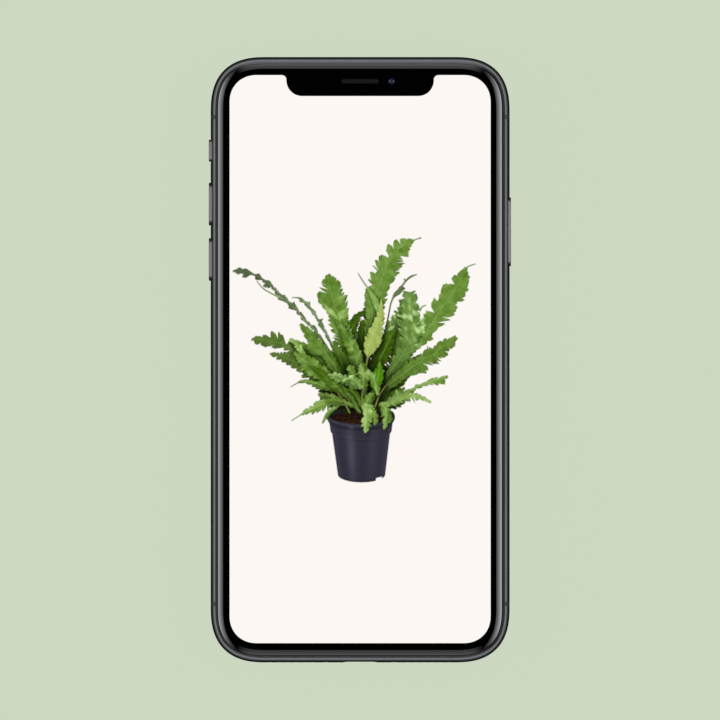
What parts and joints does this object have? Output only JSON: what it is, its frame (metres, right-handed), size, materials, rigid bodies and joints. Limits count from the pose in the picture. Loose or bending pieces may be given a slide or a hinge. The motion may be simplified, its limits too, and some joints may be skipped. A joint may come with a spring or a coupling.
{
  "type": "smartphone",
  "caption": "Slim smartphone with a notched display, rounded steel band, glass back, side buttons, ring switch and pull-out card tray, lying on its back.",
  "frame": {"origin": "middle of the back glass's flat face, which the phone lies on", "axes": "+X to the right of the screen, +Y to its top edge with the notch, +Z out of the screen"},
  "size_m": [0.0717, 0.1436, 0.0077],
  "materials": {
    "dark_steel": "polished",
    "antenna_plastic": "satin",
    "gasket": "matte",
    "cover_glass": "polished",
    "back_glass": "polished",
    "display": "gloss",
    "aluminium": "satin",
    "bright_steel": "satin",
    "black_plastic": "satin",
    "lens_glass": "polished",
    "battery_wrap": "satin",
    "circuit_board": "satin",
    "copper": "satin",
    "flex": "satin",
    "card_plastic": "gloss"
  },
  "bodies": {
    "phone": {"frame_top": "dark_steel", "frame_bottom": "dark_steel", "frame_left": "dark_steel", "frame_right": "dark_steel", "antenna_break_upper_left": "antenna_plastic", "antenna_break_lower_left": "antenna_plastic", "antenna_break_upper_right": "antenna_plastic", "antenna_break_lower_right": "antenna_plastic", "volume_switches": "flex", "side_button_switch": "flex", "ring_switch_base": "black_plastic", "sim_reader": "bright_steel", "front_glass": "cover_glass", "earpiece_grille": "black_plastic", "display_gasket": "gasket", "display_panel": "display", "display_backplate": "bright_steel", "sensor_bracket": "bright_steel", "front_camera": "lens_glass", "infrared_camera": "lens_glass", "dot_projector": "lens_glass", "proximity_sensor": "black_plastic", "earpiece_speaker": "black_plastic", "back_glass": "back_glass", "rear_camera_window": "back_glass", "chassis_plate": "aluminium", "charging_coil": "copper", "rear_camera_wide": "black_plastic", "rear_camera_tele": "black_plastic", "rear_flash": "lens_glass", "battery_main": "battery_wrap", "battery_lower": "battery_wrap", "logic_board": "circuit_board", "processor_shield": "bright_steel", "radio_shield": "bright_steel", "power_shield": "bright_steel", "display_ribbon": "flex", "upper_antenna": "black_plastic", "ambient_microphone": "bright_steel", "charging_port": "bright_steel", "bottom_screw_left": "dark_steel", "bottom_screw_right": "dark_steel", "loudspeaker_mesh": "gasket", "microphone_mesh": "gasket", "loudspeaker": "black_plastic", "microphone": "black_plastic", "vibration_motor": "bright_steel", "port_board": "flex"},
    "volume_up": {"volume_up_button": "dark_steel"},
    "volume_down": {"volume_down_button": "dark_steel"},
    "side_key": {"side_button": "dark_steel"},
    "ring_lever": {"ring_switch": "dark_steel"},
    "card_tray": {"sim_tray": "dark_steel", "sim_card": "card_plastic"}
  },
  "joints": [
    {"name": "volume_up_press", "type": "slide", "parent": "phone", "child": "volume_up", "axis": [1, 0, 0], "range_m": [0, 0.0003], "stiffness_N_per_m": 2000, "springref_m": -0.0005},
    {"name": "volume_down_press", "type": "slide", "parent": "phone", "child": "volume_down", "axis": [1, 0, 0], "range_m": [0, 0.0003], "stiffness_N_per_m": 2000, "springref_m": -0.0005},
    {"name": "side_button_press", "type": "slide", "parent": "phone", "child": "side_key", "axis": [-1, 0, 0], "range_m": [0, 0.0003], "stiffness_N_per_m": 2000, "springref_m": -0.0005},
    {"name": "ring_switch_slide", "type": "slide", "parent": "phone", "child": "ring_lever", "axis": [0, 0, -1], "range_m": [0, 0.0011]},
    {"name": "sim_tray_slide", "type": "slide", "parent": "phone", "child": "card_tray", "axis": [1, 0, 0], "range_m": [0, 0.0135]}
  ]
}
